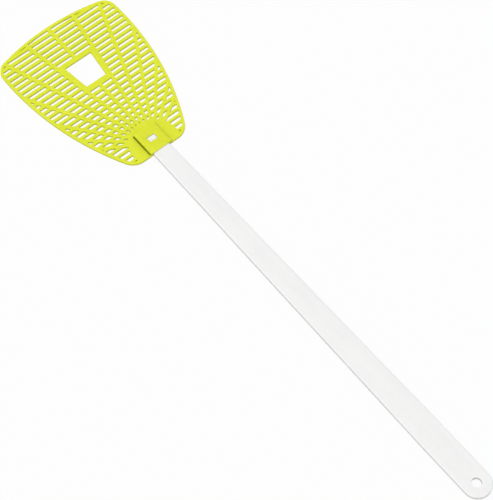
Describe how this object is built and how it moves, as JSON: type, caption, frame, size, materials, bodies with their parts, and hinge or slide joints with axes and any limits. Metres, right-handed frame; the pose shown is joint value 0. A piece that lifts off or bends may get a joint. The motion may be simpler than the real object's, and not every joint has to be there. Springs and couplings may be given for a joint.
{
  "type": "fly swatter",
  "caption": "Manual fly swatter: a thin slotted flat head plugged onto a long flat bar handle with a hang hole in its rounded end.",
  "frame": {"origin": "centre of the hang hole, at the underside that the swatter lies on", "axes": "+Y along the handle towards the tip of the head, +Z out of the front face, along the hang hole's axis"},
  "size_m": [0.0972, 0.4448, 0.0038],
  "materials": {
    "handle_plastic": "satin moulded",
    "head_plastic": "satin moulded"
  },
  "bodies": {
    "handle": {"handle": "handle_plastic", "latch_finger": "handle_plastic"},
    "head": {"swatter_head": "head_plastic"}
  },
  "joints": [
    {"name": "head_slide", "type": "slide", "parent": "handle", "child": "head", "axis": [0, 1, 0], "range_m": [0, 0.018], "deforming": ["latch_finger"]}
  ]
}
